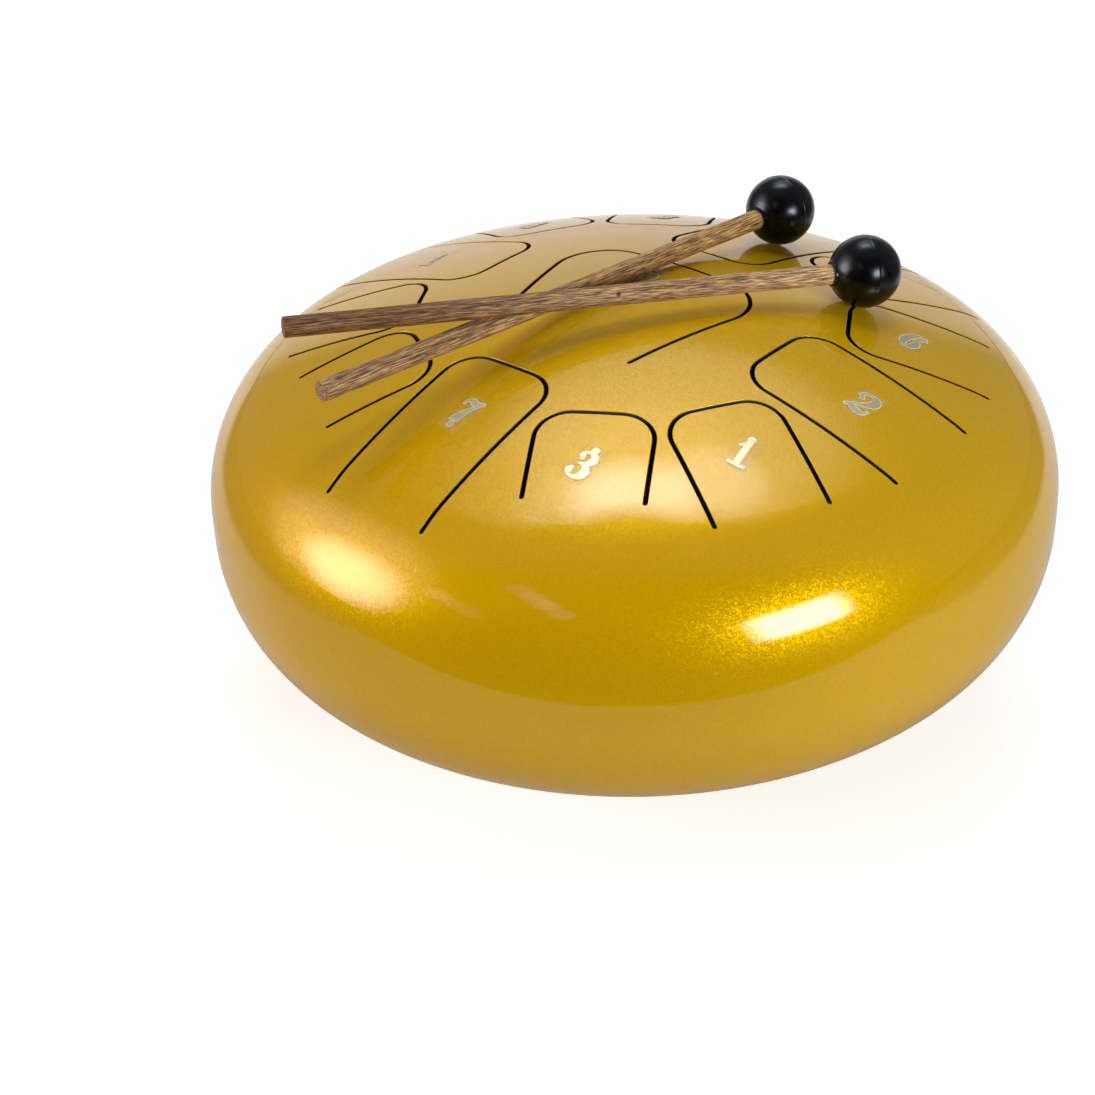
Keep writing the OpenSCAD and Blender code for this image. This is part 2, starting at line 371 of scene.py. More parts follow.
def makeFloor():
    startClean()
    bpy.ops.mesh.primitive_plane_add(size=studio["floorSize"])
    floor = bpy.context.object
    floor.name = "floor"
    material, tree, place = newMaterial("floorPaper")

    def sheet(tone):
        return addNode(tree, "ShaderNodeBsdfDiffuse", {"Color": (tone, tone, tone, 1)}), "BSDF"

    def glow(strength):
        return addNode(tree, "ShaderNodeEmission", {"Strength": strength}), "Emission"

    def added(a, b):
        return addNode(tree, "ShaderNodeAddShader", {0: a, 1: b}), "Shader"

    paper = sheet(studio["paper"])

    # only the reflection shows that the paper is a strip, with a darker floor beside and before it
    ahead = vectorMath(tree, "DOT_PRODUCT", place, toward(studio["cameraSide"], 0), output="Value")
    aside = vectorMath(tree, "DOT_PRODUCT", place, toward(studio["cameraSide"] + 90, 0), output="Value")
    edge = mapRange(tree, ahead, studio["tableEdge"], studio["tableEdge"] + studio["tableFade"])
    spread = mathNode(tree, "ABSOLUTE", mathNode(tree, "SUBTRACT", aside, studio["stripShift"]))
    widen = mapRange(tree, ahead, *studio["stripWidens"])
    reach = mathNode(tree, "SUBTRACT", spread, widen)
    beside = mapRange(tree, reach, studio["stripHalf"] - studio["stripFade"],
                      studio["stripHalf"] + studio["stripFade"], 1.0, "SMOOTHSTEP")
    strip = mixShaders(tree, beside, paper, sheet(studio["besidePaper"]))
    reflected = mixShaders(tree, edge, strip, sheet(studio["beforePaper"]))

    # behind the drum the paper glows, seen only in reflections: a painted pool of light standing in for
    # stronger light on the paper there
    seen = addNode(tree, "ShaderNodeLightPath")
    rear = mapRange(tree, ahead, *studio["rearLift"])
    inside = mathNode(tree, "SUBTRACT", 1.0, beside)
    paintedGlowShare = mathNode(tree, "MULTIPLY", mathNode(tree, "MULTIPLY", rear, inside), (seen, "Is Glossy Ray"))
    either = mixShaders(tree, (seen, "Is Camera Ray"), added(reflected, glow(paintedGlowShare)),
                        added(paper, glow(studio["lift"])))

    # clear from below, so that the drum's underside can be looked at
    geometry = addNode(tree, "ShaderNodeNewGeometry")
    clear = addNode(tree, "ShaderNodeBsdfTransparent")
    oneSided = mixShaders(tree, (geometry, "Backfacing"), either, (clear, "BSDF"))
    addNode(tree, "ShaderNodeOutputMaterial", {"Surface": oneSided})
    floor.data.materials.append(material)


makeWorld()
makeFloor()
makeSoftbox()
bpy.context.scene.view_settings.view_transform = "Standard"
print("studio lit")


# Paint, primer with painted slit shade, rubber, foil and film

paint = {
    "tones": [(0.0, (0.61, 0.355, 0.0008)), (1.0, (0.69, 0.40, 0.0014))],
    "flakeShare": 0.22,
    "flakesPerMetre": 2500.0,  # about one in each 0.4 mm
    "flakeTilt": 0.17,
    "roughness": 0.345,
    "coatRoughness": 0.03,
    "coatDensity": 1.45,
    "peelPerMetre": 260.0,
    "peelDetail": 1.0,
    "peelStrength": 0.05,
    "peelHeight": 0.02,
}


def goldPaint():
    material, tree, place = newMaterial("goldPaint")
    flakes = addNode(tree, "ShaderNodeTexVoronoi", {"Vector": place, "Scale": paint["flakesPerMetre"]})

    # every flake lies at its own small angle under the lacquer
    centred = vectorMath(tree, "SUBTRACT", (flakes, "Color"), (0.5, 0.5, 0.5))
    tilt = vectorMath(tree, "MULTIPLY", centred, (paint["flakeTilt"],) * 3)
    skin = addNode(tree, "ShaderNodeNewGeometry"), "Normal"
    leaned = vectorMath(tree, "ADD", skin, tilt)

    tone = addNode(tree, "ShaderNodeSeparateColor", {"Color": (flakes, "Color")})
    peel = noise(tree, place, paint["peelPerMetre"], paint["peelDetail"])
    return shaded(material, {
        "Base Color": ramp(tree, (tone, "Red"), paint["tones"]),
        "Roughness": paint["roughness"], "Metallic": paint["flakeShare"], "Specular IOR Level": 0.0,
        "Normal": vectorMath(tree, "NORMALIZE", leaned), "Coat Weight": 1.0,
        "Coat Roughness": paint["coatRoughness"], "Coat IOR": paint["coatDensity"],
        "Coat Normal": bump(tree, peel, paint["peelStrength"], paint["peelHeight"])})


# near-black tones: dark primer inside the drum, painted shade on the deep slit walls
primerAndShade = {
    "blotchesPerMetre": 60.0,
    "blotchDetail": 4.0,
    "tones": [(0.3, (0.018, 0.012, 0.006)), (0.7, (0.035, 0.024, 0.012))],
    "roughness": 0.6,
}


def primerAndPaintedShade():
    # inside of the drum and walls of the slits: dark primer inside; on the slit walls, which are gold like
    # the skin, it is painted shade
    material, tree, place = newMaterial("primerAndPaintedShade")
    blotch = noise(tree, place, primerAndShade["blotchesPerMetre"], primerAndShade["blotchDetail"])
    return shaded(material, {
        "Base Color": ramp(tree, blotch, primerAndShade["tones"]), "Roughness": primerAndShade["roughness"]})


rubber = {
    "cloudsPerMetre": 320.0,
    "cloudDetail": 5.0,
    "cloudRoughness": 0.65,
    "grainsPerMetre": 2200.0,
    "grainDetail": 2.0,
    "grainStrength": 0.12,
    "grainHeight": 0.05,
    "tint": (0.80, 0.88, 1.0, 1),
    "specular": 0.36,
    "glossSpread": (-0.05, 0.07),
    "head": {"roughness": 0.22, "tones": [(0.40, (0.0010, 0.0010, 0.0013)), (0.80, (0.006, 0.006, 0.0069))]},
    "foot": {"roughness": 0.55, "tones": [(0.40, (0.008, 0.008, 0.0104)), (0.80, (0.03, 0.03, 0.0345))]},
}


def blackRubber(name, kind):
    material, tree, place = newMaterial(name)
    cloud = noise(tree, place, rubber["cloudsPerMetre"], rubber["cloudDetail"], rubber["cloudRoughness"])
    low, high = rubber["glossSpread"]
    gloss = addNode(tree, "ShaderNodeMapRange", {
        "Value": cloud, "To Min": kind["roughness"] + low, "To Max": kind["roughness"] + high})
    grains = noise(tree, place, rubber["grainsPerMetre"], rubber["grainDetail"])
    return shaded(material, {
        "Base Color": ramp(tree, cloud, kind["tones"]), "Roughness": (gloss, "Result"),
        "Specular Tint": rubber["tint"], "Specular IOR Level": rubber["specular"],
        "Normal": bump(tree, grains, rubber["grainStrength"], rubber["grainHeight"])})


foilPrint = {
    "streaksPerMetre": 420.0,
    "streakDetail": 3.0,
    "stretch": (1.0, 6.0, 1.0),
    "tones": [(0.3, (0.50, 0.48, 0.31)), (0.7, (0.68, 0.66, 0.46))],
    "metal": 0.85,
    "roughness": 0.36,
    "wrinkleStrength": 0.25,
    "wrinkleHeight": 0.05,
}


def silverFoil():
    material, tree, place = newMaterial("silverFoil")
    brushed = addNode(tree, "ShaderNodeMapping", {"Vector": place, "Scale": foilPrint["stretch"]})
    streaks = noise(tree, (brushed, "Vector"), foilPrint["streaksPerMetre"], foilPrint["streakDetail"])
    return shaded(material, {
        "Base Color": ramp(tree, streaks, foilPrint["tones"]),
        "Metallic": foilPrint["metal"], "Roughness": foilPrint["roughness"],
        "Normal": bump(tree, streaks, foilPrint["wrinkleStrength"], foilPrint["wrinkleHeight"])})


rimPrint = {
    "specklesPerMetre": 900.0,
    "speckleDetail": 2.0,
    "tones": [(0.3, (0.78, 0.70, 0.42)), (0.7, (0.90, 0.83, 0.55))],
    "metal": 0.15,
    "roughness": 0.35,
}


def printedRim():
    # pale rim printed round each numeral
    material, tree, place = newMaterial("paleRim")
    speckle = noise(tree, place, rimPrint["specklesPerMetre"], rimPrint["speckleDetail"])
    return shaded(material, {
        "Base Color": ramp(tree, speckle, rimPrint["tones"]),
        "Metallic": rimPrint["metal"], "Roughness": rimPrint["roughness"]})


filmSheet = {
    "hazePerMetre": 250.0,
    "hazeDetail": 3.0,
    "gloss": (0.12, 0.3),
    "tint": (0.85, 0.78, 0.5, 1.0),
    "alpha": 0.05,
    "edgeTint": (0.22, 0.15, 0.03, 1.0),
    "edgeAlpha": 0.55,
}


def clearFilm(name, tint, alpha):
    material, tree, place = newMaterial(name)
    haze = noise(tree, place, filmSheet["hazePerMetre"], filmSheet["hazeDetail"])
    low, high = filmSheet["gloss"]
    gloss = addNode(tree, "ShaderNodeMapRange", {"Value": haze, "To Min": low, "To Max": high})
    return shaded(material, {"Base Color": tint, "Alpha": alpha, "Roughness": (gloss, "Result")})


gold = goldPaint()
insidePrimerAndSlitShade = primerAndPaintedShade()
headRubber = blackRubber("headRubber", rubber["head"])
footRubber = blackRubber("footRubber", rubber["foot"])
foil = silverFoil()
paleFoil = printedRim()
film = clearFilm("labelFilm", filmSheet["tint"], filmSheet["alpha"])
filmEdge = clearFilm("labelFilmEdge", filmSheet["edgeTint"], filmSheet["edgeAlpha"])
print("materials mixed")


# Drum body: two pressed shells and the weld between them

shell = {
    "radius": 150.0,
    "crownRadius": 310.0,
    "shoulderRadius": 50.0,
    "skirt": 4.5,
    "wall": 1.8,
    "weldGap": 1.2,
    "weldBead": 1.0,
    "beadSteps": 8,
    "soundHole": 80.0,
    "stepsRound": 256,
    "crownRings": 42,
    "shoulderRings": 22,
    "holeEdge": 0.5,
    "holeEdgeSteps": 3,
    "holeCorner": 60,  # at the hole, edges sharper than this are rounded, in degrees
    "crease": 40,  # edges sharper than this stay sharp, in degrees
    "skinDepth": 0.03,  # a face nearer to the true skin than this belongs to it
    "skinFacing": 0.99,
    "wallFacing": 0.3,
}
seamZ = 0.5 * (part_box("upper_shell")[0].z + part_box("lower_shell")[1].z)

shoulderAxis = shell["radius"] - shell["shoulderRadius"]
between = shell["crownRadius"] - shell["shoulderRadius"]  # centres of the crown and of the shoulder
crownCentre = shell["skirt"] - math.sqrt(between ** 2 - shoulderAxis ** 2)
joinAngle = math.asin(shoulderAxis / between)
joinRadius = shell["crownRadius"] * math.sin(joinAngle)


def skinHeight(x, y):
    # height of the outer skin over the seam, at a place in plan, all in millimetres
    r = math.hypot(x, y)
    if r < joinRadius:
        return crownCentre + math.sqrt(shell["crownRadius"] ** 2 - r * r)
    return shell["skirt"] + math.sqrt(max(shell["shoulderRadius"] ** 2 - (r - shoulderAxis) ** 2, 0.0))


def skinNormal(point):
    # outward normal of the skin above the seam, at a point in metres
    up = (point.z - seamZ) / mm
    r = math.hypot(point.x, point.y) / mm
    if up < shell["skirt"]:
        return Vector((point.x, point.y, 0)).normalized()
    if r < joinRadius:
        return Vector((point.x, point.y, point.z - seamZ - crownCentre * mm)).normalized()
    pull = shoulderAxis / r
    return Vector((point.x * (1 - pull), point.y * (1 - pull), (up - shell["skirt"]) * mm)).normalized()


def shellProfile(firstRadius):
    # section of the outer skin from the crown down to the rim
    start = math.asin(firstRadius / shell["crownRadius"])
    points = []
    for k in range(shell["crownRings"]):
        a = start + (joinAngle - start) * k / shell["crownRings"]
        points.append((shell["crownRadius"] * math.sin(a),
                       crownCentre + shell["crownRadius"] * math.cos(a)))
    for k in range(shell["shoulderRings"] + 1):
        a = joinAngle + (math.pi / 2 - joinAngle) * k / shell["shoulderRings"]
        points.append((shoulderAxis + shell["shoulderRadius"] * math.sin(a),
                       shell["skirt"] + shell["shoulderRadius"] * math.cos(a)))
    points.append((shell["radius"], shell["weldGap"] / 2))
    return points


def spinSection(points, base, upright=1):
    # one point, extruded along the section and spun round the drum's axis
    places = [Vector((x * mm, 0, base + upright * z * mm)) for x, z in points]
    startClean()
    bpy.ops.mesh.primitive_plane_add(size=mm)
    piece = bpy.context.object
    bpy.ops.object.mode_set(mode="EDIT")
    bpy.ops.mesh.merge(type="CENTER")
    bpy.ops.transform.translate(value=places[0])
    for here, there in zip(places, places[1:]):
        bpy.ops.mesh.extrude_vertices_move(TRANSFORM_OT_translate={"value": there - here})
    bpy.ops.mesh.select_all(action="SELECT")
    bpy.ops.mesh.spin(steps=shell["stepsRound"], angle=2 * math.pi, center=(0, 0, 0), axis=(0, 0, 1))
    tidyNormals()
    bpy.ops.object.mode_set(mode="OBJECT")
    return piece


def thicken(piece):
    solid = piece.modifiers.new("wall", "SOLIDIFY")
    solid.thickness = shell["wall"] * mm
    solid.offset = -1.0
    solid.use_even_offset = True
    applyAll(piece)


# Tongues, counter-clockwise from the one nearest the player:
# label node, width, distances of tip and root from the drum's axis, small turn away from an even spacing
tongues = [
    ("label_low_7", 39.3, 60.3, 127.35, -0.7),
    ("label_high_3", 36.8, 74.55, 109.8, 0.8),
    ("label_high_1", 36.8, 75.6, 120.0, -0.5),
    ("label_2", 39.3, 61.35, 121.95, -0.1),
    ("label_6", 36.8, 75.45, 122.7, 0.4),
    ("label_5", 36.8, 75.0, 126.45, 0.3),
    ("label_low_6", 39.3, 44.25, 127.05, -0.6),
    ("label_3", 36.8, 75.0, 128.25, 0.9),
    ("label_4", 36.8, 79.5, 129.75, -0.9),
    ("label_1", 39.3, 57.3, 124.05, -0.6),
    ("label_7", 36.8, 73.95, 117.15, -0.4),
    ("label_high_2", 36.8, 73.95, 112.5, -1.5),
]
slit = {
    "width": 1.5,
    "cornerRadius": 11.0,
    "centreWidth": 75.0,
    "centreCorner": 18.0,
    "centreLength": 65.4,
    "centreTip": 26.8,
    "centreShift": 2.5,
    "centreTaper": 12.5,
    "edgeRound": 0.28,
    "step": 3.0,
    "arcStep": 7.5,
    "capSteps": 6,
    "toolDepth": 7.0,
    "toolRise": 0.4,
    "flare": (22, 44, 65),  # steps of the edge's rounding in degrees; it crosses the skin at the last
}


def heading(degrees):
    return Vector((math.cos(math.radians(degrees)), math.sin(math.radians(degrees))))


def straightRun(a, b, side):
    steps = max(2, round((b - a).length / slit["step"]))
    return [(a.lerp(b, k / steps), side) for k in range(steps)]


def cornerRun(centre, radius, first, last):
    steps = math.ceil(abs(last - first) / slit["arcStep"])
    angles = [first + (last - first) * k / steps for k in range(steps)]
    return [(centre + radius * heading(angle), angle) for angle in angles]


def outerSlitPath(width, tip, root):
    # middle line of the slit in the tongue's own plan, +y outwards, each point with its outward side
    half = (width + slit["width"]) / 2
    r = slit["cornerRadius"]
    return (straightRun(Vector((-half, root)), Vector((-half, tip + r)), 180)
            + cornerRun(Vector((r - half, tip + r)), r, 180, 270)
            + straightRun(Vector((r - half, tip)), Vector((half - r, tip)), 270)
            + cornerRun(Vector((half - r, tip + r)), r, 270, 360)
            + straightRun(Vector((half, tip + r)), Vector((half, root)), 360)
            + [(Vector((half, root)), 360)])


def centreSlitPath():
    r, taper = slit["centreCorner"], slit["centreTaper"]
    flat = (slit["centreWidth"] + slit["width"]) / 2 - r
    lean = math.radians(taper)
    side = (slit["centreLength"] - r * (1 + math.sin(lean))) / math.cos(lean)
    level = slit["centreTip"] - r
    left, right = Vector((slit["centreShift"] - flat, level)), Vector((slit["centreShift"] + flat, level))
    leftStart = left + r * heading(180 + taper)
    rightEnd = right + r * heading(-taper)
    leftRoot = leftStart + side * heading(taper - 90)
    rightRoot = rightEnd + side * heading(-90 - taper)
    return (straightRun(leftRoot, leftStart, 180 + taper)
            + cornerRun(left, r, 180 + taper, 90)
            + straightRun(left + r * heading(90), right + r * heading(90), 90)
            + cornerRun(right, r, 90, -taper)
            + straightRun(rightEnd, rightRoot, -taper)
            + [(rightRoot, -taper)])


def slitOutline(path, half, hand):
    # closed outline round the path, with round ends; hand is 1 where the path runs to the left of its side
    def cap(middle, start):
        return [middle + half * heading(start + hand * 180 * k / slit["capSteps"])
                for k in range(1, slit["capSteps"])]

    outer = [p + half * heading(a) for p, a in path]
    inner = [p - half * heading(a) for p, a in reversed(path)]
    return outer + cap(*path[-1]) + inner + cap(path[0][0], path[0][1] + 180)


def slitCutter(path, hand, turn):
    # cutting tool for one slit, flared at the skin so that the painted edge comes out rounded
    r, rise = slit["edgeRound"], slit["toolRise"]
    flare = [math.radians(angle) for angle in slit["flare"]]
    lift = r * (1 - math.sin(flare[-1]))
    closed = -slit["width"] / 2  # the outline shrunk to its middle line closes the tool's ends
    layers = [(closed, -slit["toolDepth"]), (0.0, -slit["toolDepth"]), (0.0, lift - r)]
    layers += [(r * (1 - math.cos(a)), lift - r * (1 - math.sin(a))) for a in flare]
    layers += [(layers[-1][0] + rise * math.tan(flare[-1]), rise), (closed, rise)]
    places = []
    for spread, height in layers:
        outline = slitOutline(path, slit["width"] / 2 + spread, hand)
        for p in outline + outline[:1]:
            x = p.x * math.cos(turn) - p.y * math.sin(turn)
            y = p.x * math.sin(turn) + p.y * math.cos(turn)
            places.append(Vector((x * mm, y * mm, seamZ + (skinHeight(x, y) + height) * mm)))
    startClean()
    bpy.ops.mesh.primitive_grid_add(x_subdivisions=len(places) // len(layers) - 1,
                                    y_subdivisions=len(layers) - 1)
    cutter = bpy.context.object
    placeVertices(cutter, places)
    bpy.ops.object.mode_set(mode="EDIT")
    bpy.ops.mesh.select_all(action="SELECT")
    tidyNormals()
    bpy.ops.object.mode_set(mode="OBJECT")
    return cutter


def cutSlits(piece):
    cutters = [slitCutter(centreSlitPath(), -1, 0.0)]
    for k, (label, width, tip, root, turn) in enumerate(tongues):
        angle = 180 + 360 * k / len(tongues) + turn
        cutters.append(slitCutter(outerSlitPath(width, tip, root), 1, math.radians(angle)))
    startClean()
    for cutter in cutters:
        cutter.select_set(True)
    bpy.context.view_layer.objects.active = cutters[0]
    bpy.ops.object.join()
    combine(piece, cutters[0], "DIFFERENCE")


def polishSkin(piece):
    # the skin keeps its true normals right up to the slits; the slit walls below their rounded edge and the
    # inside get the near-black material: painted shade on the walls, dark primer inside
    mesh = piece.data
    onSkin = set()
    for face in mesh.polygons:
        centre = face.center
        up = (centre.z - seamZ) / mm
        level = skinNormal(centre)
        nearSkin = abs((up - skinHeight(centre.x / mm, centre.y / mm)) * level.z) < shell["skinDepth"]
        if (nearSkin or up <= shell["skirt"]) and face.normal.dot(level) > shell["skinFacing"]:
            onSkin.update(face.vertices)
    normals = [Vector(corner.vector) for corner in mesh.corner_normals]
    for face in mesh.polygons:
        centre = face.center
        # slit walls below the rounded edge take the near-black material as painted shade
        if face.normal.dot(skinNormal(centre)) < shell["wallFacing"]:
            depth = skinHeight(centre.x / mm, centre.y / mm) - (centre.z - seamZ) / mm
            face.material_index = 1 if depth > slit["edgeRound"] else 0
            continue
        for corner in face.loop_indices:
            v = mesh.loops[corner].vertex_index
            if v in onSkin:
                normals[corner] = skinNormal(mesh.vertices[v].co)
    mesh.normals_split_custom_set(normals)


def makeUpperShell():
    upper = spinSection(shellProfile(0.0), seamZ)
    thicken(upper)
    cutSlits(upper)
    smoothByAngle(upper, shell["crease"])
    dress(upper, "upper_drum_shell", "drum", "gold_paint", [gold, insidePrimerAndSlitShade], "upper_shell")
    polishSkin(upper)
    print("upper shell cut:", len(upper.data.polygons), "faces")


def makeLowerShell():
    lower = spinSection(shellProfile(shell["soundHole"] / 2), seamZ, -1)
    thicken(lower)
    # rolled edge of the sound hole
    near = (shell["soundHole"] / 2 + shell["holeEdge"]) * mm
    corner = math.radians(shell["holeCorner"])

    def sharpAtHole(edge):
        atHole = all(math.hypot(v.co.x, v.co.y) < near for v in edge.verts)
        return atHole and len(edge.link_faces) == 2 and edge.calc_face_angle() > corner

    bpy.ops.object.mode_set(mode="EDIT")
    pickEdges(lower, sharpAtHole)
    bpy.ops.mesh.bevel(offset=shell["holeEdge"] * mm, segments=shell["holeEdgeSteps"], affect="EDGES")
    bpy.ops.object.mode_set(mode="OBJECT")
    paintedTo = (shell["soundHole"] / 2 + 2 * shell["holeEdge"]) * mm
    for face in lower.data.polygons:
        centre = face.center
        inward = face.normal.dot(Vector((centre.x, centre.y, centre.z - seamZ)))
        face.material_index = 1 if inward < 0 and math.hypot(centre.x, centre.y) > paintedTo else 0
    smoothByAngle(lower, shell["crease"])
    dress(lower, "lower_drum_shell", "drum", "gold_paint", [gold, insidePrimerAndSlitShade], "lower_shell")
    print("lower shell pressed")


def makeWeld():
    half, inner = shell["weldGap"] / 2, shell["radius"] - shell["wall"]
    bead = shell["weldBead"]
    points = [(shell["radius"], -half), (shell["radius"], half), (inner, half), (inner, bead)]
    for k in range(1, shell["beadSteps"]):
        a = math.pi * k / shell["beadSteps"]
        points.append((inner - bead * math.sin(a), bead * math.cos(a)))
    points += [(inner, -bead), (inner, -half), (shell["radius"], -half)]
    weld = spinSection(points, seamZ)
    smoothByAngle(weld, shell["crease"])
    dress(weld, "ground_weld_seam", "drum", "weld_steel", [gold], "weld_seam")
    print("weld laid")


makeUpperShell()
makeLowerShell()
makeWeld()


# Feet: moulded bumpers with a dished underside, glued to the lower dome

foot = {
    "diameter": 19.0,
    "sides": 72,
    "flare": 1.5,
    "glue": 0.05,
    "edge": 0.8,
    "edgeSteps": 3,
    "crease": 40,  # edges sharper than this are rounded, in degrees
    "dish": 1.0,
    "rim": 3.0,
}


def makeFoot(node):
    low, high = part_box(node)
    centre = (low + high) / 2
    height = high.z - low.z
    startClean()
    bpy.ops.mesh.primitive_cone_add(vertices=foot["sides"], radius1=foot["diameter"] / 2 * mm,
                                    radius2=(foot["diameter"] / 2 + foot["flare"]) * mm, depth=height,
                                    location=(centre.x, centre.y, low.z + height / 2))
    piece = bpy.context.object
    applyPlace()
    bpy.ops.object.mode_set(mode="EDIT")
    pickFaces(piece, lambda face: face.normal.z < -levelFacing)
    bpy.ops.mesh.inset(thickness=foot["rim"] * mm)
    bpy.ops.mesh.inset(thickness=foot["dish"] * mm, depth=-foot["dish"] * mm)
    bpy.ops.object.mode_set(mode="OBJECT")
    edges = piece.modifiers.new("edges", "BEVEL")
    edges.width = foot["edge"] * mm
    edges.segments = foot["edgeSteps"]
    edges.limit_method = "ANGLE"
    edges.angle_limit = math.radians(foot["crease"])
    applyAll(piece)
    # the top follows the dome that it is glued to
    for vertex in piece.data.vertices:
        dome = seamZ - (skinHeight(vertex.co.x / mm, vertex.co.y / mm) + foot["glue"]) * mm
        share = (vertex.co.z - low.z) / height
        if share > 0.5:
            vertex.co.z = dome - (1 - share) * height
    smoothByAngle(piece, foot["crease"])
    dress(piece, "rubber_" + node, "drum", "foot_rubber", [footRubber], node)


for side in ("front_right", "rear_right", "rear_left", "front_left"):
    makeFoot("foot_" + side)
print("feet glued on")


# Number labels: clear film with a foil numeral, upright for the player

label = {
    "width": 8.5,
    "height": 16.0,
    "glue": 0.05,
    "film": 0.10,
    "cutEdge": 0.22,
    "edgeReach": 1.01,  # faces nearer to the border than so many cut edges belong to the edge
    "foil": 0.04,
    "rim": 0.4,
    "steps": (6, 12),
    "digitHeight": 12.0,
    "dottedHeight": 11.2,
    "digitShift": 1.1,  # a numeral with a dot moves away from it
    "dotRadius": 1.0,
    "dotSides": 28,
    "dotGap": 1.15,
    "smoothing": 6,
    "crease": 40,  # edges sharper than this stay sharp, in degrees
    "inkCrease": 30,
    # labels that were stuck on a little askew, in degrees
    "askew": {"label_high_1": 10, "label_low_7": -8, "label_2": -5},
}

gridHeight = 10  # height of the grid on which the numerals' strokes are set
# Strokes of each numeral, centred sideways on the grid: x, y and half the stroke's width
numerals = {
    "1": [[(-2.0, 7.6, 0.15), (-1.0, 8.3, 0.38), (-0.2, 9.4, 0.45)],
          [(0, 9.9, 0.70), (0, 5.0, 0.76), (0, 0.4, 0.76)],
          [(-2.4, 0.34, 0.34), (0, 0.34, 0.34), (2.4, 0.34, 0.34)]],
    "2": [[(-2.9, 7.2, 0.2), (-2.3, 8.9, 0.3), (-0.3, 9.75, 0.35), (1.5, 9.0, 0.9), (2.0, 7.3, 1.25),
           (1.3, 5.5, 1.0), (-0.3, 3.8, 0.45), (-2.0, 2.2, 0.28), (-3.0, 0.6, 0.2)],
          [(-3.0, 0.7, 0.3), (-1.7, 1.5, 0.7), (0, 1.0, 0.95), (1.5, 0.85, 0.8), (2.7, 1.6, 0.35),
           (2.95, 3.0, 0.15)],
          [(-2.3, 6.9, 0.9), (-1.9, 7.1, 1.05), (-1.6, 7.3, 0.9)]],
    "3": [[(-2.6, 7.6, 0.2), (-2.0, 9.1, 0.28), (-0.3, 9.75, 0.32), (1.2, 9.1, 0.8), (1.7, 7.6, 1.05),
           (1.0, 6.1, 0.75), (-0.2, 5.35, 0.28), (-1.2, 5.3, 0.16)],
          [(-1.2, 5.3, 0.16), (0.3, 5.1, 0.3), (1.6, 4.3, 0.9), (2.1, 2.8, 1.2), (1.4, 1.1, 0.85),
           (-0.3, 0.3, 0.32), (-2.1, 0.8, 0.26), (-3.0, 2.2, 0.2)],
          [(-2.1, 7.4, 0.75), (-1.75, 7.5, 0.95), (-1.4, 7.6, 0.75)],
          [(-2.4, 2.2, 0.8), (-2.0, 2.3, 1.0), (-1.6, 2.4, 0.8)]],
    "4": [[(-3.1, 2.9, 0.22), (-1.4, 5.7, 0.24), (0.9, 9.7, 0.28)],
          [(-3.2, 2.75, 0.3), (0, 2.75, 0.3), (3.2, 2.75, 0.3)],
          [(1.3, 9.9, 0.85), (1.3, 5.0, 1.05), (1.3, 0.4, 1.05)],
          [(-0.7, 0.28, 0.28), (1.2, 0.28, 0.28), (3.1, 0.28, 0.28)]],
    "5": [[(-2.2, 9.3, 0.2), (-0.6, 9.0, 0.65), (1.0, 8.9, 0.75), (2.6, 9.5, 0.2)],
          [(-2.1, 9.4, 0.22), (-2.1, 7.3, 0.22), (-2.1, 5.1, 0.22)],
          [(-2.1, 5.2, 0.2), (-0.6, 6.1, 0.32), (1.0, 5.7, 0.85), (1.9, 3.6, 1.25), (1.2, 1.2, 0.85),
           (-0.5, 0.3, 0.32), (-2.1, 0.8, 0.26), (-2.9, 2.1, 0.2)],
          [(-2.3, 2.1, 0.8), (-1.9, 2.2, 1.0), (-1.5, 2.3, 0.8)]],
    "6": [[(2.5, 8.3, 0.2), (1.5, 9.6, 0.26), (0.1, 9.4, 0.5), (-1.3, 7.6, 0.95), (-1.8, 4.8, 1.2),
           (-1.4, 2.0, 0.95), (0, 0.35, 0.34), (1.5, 1.2, 0.85), (1.9, 3.2, 1.1), (1.3, 5.2, 0.65),
           (0.1, 5.9, 0.26), (-1.0, 5.4, 0.2)],
          [(1.3, 8.3, 0.75), (1.65, 8.2, 0.9), (2.0, 8.1, 0.75)]],
    "7": [[(-2.9, 7.0, 0.16), (-2.6, 8.7, 0.35), (-1.3, 9.1, 0.75), (0.3, 8.6, 0.85), (1.8, 9.0, 0.65),
           (2.9, 9.8, 0.18)],
          [(2.8, 9.5, 0.2), (1.3, 7.0, 0.45), (0.1, 4.4, 0.95), (-0.4, 1.6, 1.35), (-0.4, 0.7, 1.3)]],
}


def onDome(piece, centre, lift):
    # lays a flat piece, made round the origin, on the dome
    for vertex in piece.data.vertices:
        x, y = vertex.co.x + centre.x, vertex.co.y + centre.y
        vertex.co = (x, y, seamZ + (skinHeight(x / mm, y / mm) + lift) * mm + vertex.co.z)
    piece.data.update()


def inkStroke(points, scale, base, grow):
    # one stroke of a numeral as a thin flat solid, made larger all round by grow
    stations = blendCurve(points, label["smoothing"])
    last = len(stations) - 1
    sides = []
    for k, (x, y, half) in enumerate(stations):
        before, after = stations[max(k - 1, 0)], stations[min(k + 1, last)]
        along = Vector((after[0] - before[0], after[1] - before[1])).normalized()
        across = Vector((-along.y, along.x)) * (half * scale + grow)
        middle = Vector((x, y)) * scale + along * grow * ((k == last) - (k == 0))
        sides += [Vector((middle.x - across.x, middle.y - across.y + base, 0)),
                  Vector((middle.x + across.x, middle.y + across.y + base, 0))]
    startClean()
    bpy.ops.mesh.primitive_grid_add(x_subdivisions=1, y_subdivisions=len(stations) - 1)
    stroke = bpy.context.object
    placeVertices(stroke, [p * mm for p in sides])
    return raiseFoil(stroke)


